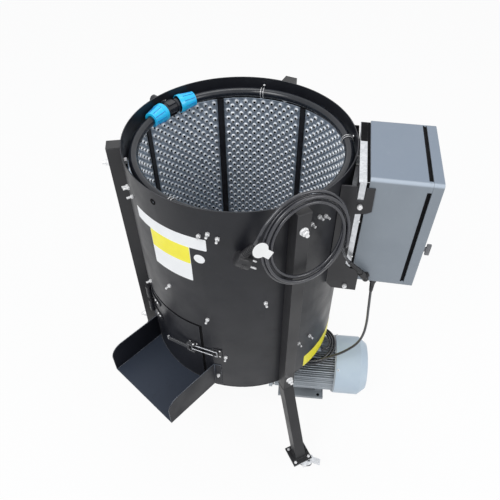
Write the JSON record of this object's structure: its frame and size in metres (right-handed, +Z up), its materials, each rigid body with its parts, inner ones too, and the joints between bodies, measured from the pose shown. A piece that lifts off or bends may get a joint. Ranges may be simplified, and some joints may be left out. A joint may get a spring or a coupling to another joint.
{
  "type": "walnut peeling machine",
  "caption": "Upright drum on castored splayed legs with rasp-lined wall, turning floor disc, water ring, discharge door with chute, control box and geared motor.",
  "frame": {"origin": "on the floor, under the drum's axis", "axes": "+Z up along the drum's axis, +Y away from the viewer of the picture, +X to the viewer's right"},
  "size_m": [1.0146, 0.9081, 1.1437],
  "materials": {
    "drum_paint": "satin black powder coat",
    "leg_paint": "satin black powder coat",
    "chute_paint": "satin black powder coat, worn edges",
    "rasp_zinc": "galvanised, punched with dimples",
    "black_bar": "satin",
    "bolt_zinc": "bright zinc",
    "cap_plastic": "moulded",
    "wheel_rubber": "moulded",
    "brake_steel": "zinc",
    "rotor_steel": "machined",
    "gear_bronze": "machined",
    "cast_grey": "cast",
    "motor_aluminium": "cast, clear coat",
    "cover_paint": "smooth pale paint",
    "pipe_black": "satin polyethylene",
    "nut_blue": "moulded, ribbed",
    "box_paint": "fine textured grey",
    "seal_black": "foam",
    "button_green": "moulded",
    "button_red": "moulded",
    "device_grey": "moulded on zinc plate",
    "cord_black": "satin sheath",
    "tag_white": "plain"
  },
  "bodies": {
    "frame": {"drum_shell": "drum_paint", "drum_base": "drum_paint", "hinge_brackets": "drum_paint", "latch_catch": "drum_paint", "box_brackets": "drum_paint", "gearbox_hanger": "drum_paint", "leg_left": "leg_paint", "leg_front": "leg_paint", "leg_back": "leg_paint", "chute": "chute_paint", "liner_panels": "rasp_zinc", "liner_bars": "black_bar", "liner_studs": "bolt_zinc", "box_hanger": "bolt_zinc", "frame_bolts": "bolt_zinc", "caster_plates": "bolt_zinc", "pipe_clips": "bolt_zinc", "leg_caps": "cap_plastic", "cable_glands": "cap_plastic", "mains_plug": "cap_plastic", "shaft_bearing": "cast_grey", "gearbox_housing": "motor_aluminium", "gearbox_cover": "motor_aluminium", "motor_housing": "motor_aluminium", "terminal_box": "motor_aluminium", "fan_cover": "cover_paint", "water_ring": "pipe_black", "water_tee": "pipe_black", "tee_nuts": "nut_blue", "box_body": "box_paint", "box_gasket": "seal_black", "contactor_plate": "device_grey", "mains_coil": "cord_black", "mains_lead": "cord_black", "motor_lead": "cord_black", "motor_coil": "cord_black", "cable_tag": "tag_white"},
    "rotor": {"rotor_disc": "rotor_steel", "rotor_shaft": "rotor_steel", "worm_wheel": "gear_bronze"},
    "motor_rotor": {"motor_shaft": "rotor_steel", "motor_fan": "cap_plastic"},
    "door": {"discharge_door": "drum_paint", "latch_base": "bolt_zinc"},
    "lever": {"latch_lever": "bolt_zinc"},
    "bail": {"latch_bail": "bolt_zinc"},
    "box_lid": {"box_door": "box_paint"},
    "lock": {"box_lock": "bolt_zinc"},
    "knob": {"switch_knob": "cap_plastic"},
    "start": {"start_button": "button_green"},
    "stop": {"stop_button": "button_red"},
    "fork_left": {"caster_fork_left": "bolt_zinc"},
    "wheel_left": {"caster_wheel_left": "wheel_rubber"},
    "brake_left": {"caster_brake_left": "brake_steel"},
    "fork_front": {"caster_fork_front": "bolt_zinc"},
    "wheel_front": {"caster_wheel_front": "wheel_rubber"},
    "brake_front": {"caster_brake_front": "brake_steel"},
    "fork_back": {"caster_fork_back": "bolt_zinc"},
    "wheel_back": {"caster_wheel_back": "wheel_rubber"},
    "brake_back": {"caster_brake_back": "brake_steel"}
  },
  "joints": [
    {"name": "rotor_spin", "type": "hinge", "parent": "frame", "child": "rotor", "pos_m": [0, 0, 0.389], "axis": [0, 0, 1], "continuous": true},
    {"name": "motor_spin", "type": "hinge", "parent": "frame", "child": "motor_rotor", "pos_m": [-0.01128, -0.08929, 0.215], "axis": [0.9921, -0.1253, 0], "continuous": true},
    {"name": "door_swing", "type": "hinge", "parent": "frame", "child": "door", "pos_m": [-0.28548, -0.11825, 0.6], "axis": [0, 0, -1], "range_deg": [0, 80]},
    {"name": "lever_swing", "type": "hinge", "parent": "door", "child": "lever", "pos_m": [-0.14981, -0.27026, 0.548], "axis": [0, 0, 1], "range_deg": [0, 100]},
    {"name": "bail_swing", "type": "hinge", "parent": "lever", "child": "bail", "pos_m": [-0.15608, -0.26507, 0.548], "axis": [0, 0, 1], "range_deg": [-115, 0]},
    {"name": "box_lid_swing", "type": "hinge", "parent": "frame", "child": "box_lid", "pos_m": [0.4813, 0.03124, 0.925], "axis": [0, 0, 1], "range_deg": [0, 110]},
    {"name": "lock_turn", "type": "hinge", "parent": "box_lid", "child": "lock", "pos_m": [0.46479, -0.19782, 0.873], "axis": [0.9816, -0.1908, 0], "range_deg": [0, 90]},
    {"name": "switch_turn", "type": "hinge", "parent": "box_lid", "child": "knob", "pos_m": [0.48263, -0.10604, 0.998], "axis": [-0.9816, 0.1908, 0], "range_deg": [0, 90]},
    {"name": "start_press", "type": "slide", "parent": "box_lid", "child": "start", "axis": [-0.9816, 0.1908, 0], "range_m": [0, 0.004], "stiffness_N_per_m": 500, "springref_m": -0.001},
    {"name": "stop_press", "type": "slide", "parent": "box_lid", "child": "stop", "axis": [-0.9816, 0.1908, 0], "range_m": [0, 0.004], "stiffness_N_per_m": 500, "springref_m": -0.001},
    {"name": "swivel_left", "type": "hinge", "parent": "frame", "child": "fork_left", "pos_m": [-0.43426, -0.04564, 0.062], "axis": [0, 0, 1], "continuous": true},
    {"name": "roll_left", "type": "hinge", "parent": "fork_left", "child": "wheel_left", "pos_m": [-0.45678, -0.03264, 0.025], "axis": [-0.5, -0.866, 0], "continuous": true},
    {"name": "brake_press_left", "type": "hinge", "parent": "fork_left", "child": "brake_left", "pos_m": [-0.47237, -0.02364, 0.05], "axis": [-0.5, -0.866, 0], "range_deg": [0, 12]},
    {"name": "swivel_front", "type": "hinge", "parent": "frame", "child": "fork_front", "pos_m": [0.1776, -0.3989, 0.062], "axis": [0, 0, 1], "continuous": true},
    {"name": "roll_front", "type": "hinge", "parent": "fork_front", "child": "wheel_front", "pos_m": [0.20272, -0.40563, 0.025], "axis": [0.2588, 0.9659, 0], "continuous": true},
    {"name": "brake_press_front", "type": "hinge", "parent": "fork_front", "child": "brake_front", "pos_m": [0.2201, -0.41029, 0.05], "axis": [0.2588, 0.9659, 0], "range_deg": [0, 12]},
    {"name": "swivel_back", "type": "hinge", "parent": "frame", "child": "fork_back", "pos_m": [0.205, 0.38554, 0.062], "axis": [0, 0, 1], "continuous": true},
    {"name": "roll_back", "type": "hinge", "parent": "fork_back", "child": "wheel_back", "pos_m": [0.20951, 0.41115, 0.025], "axis": [-0.9848, 0.1736, 0], "continuous": true},
    {"name": "brake_press_back", "type": "hinge", "parent": "fork_back", "child": "brake_back", "pos_m": [0.21264, 0.42887, 0.05], "axis": [-0.9848, 0.1736, 0], "range_deg": [0, 12]}
  ],
  "couplings": [
    {"joint": "motor_spin", "follows": "rotor_spin", "ratio": 7.5},
    {"joint": "bail_swing", "follows": "lever_swing", "ratio": -1.15}
  ]
}
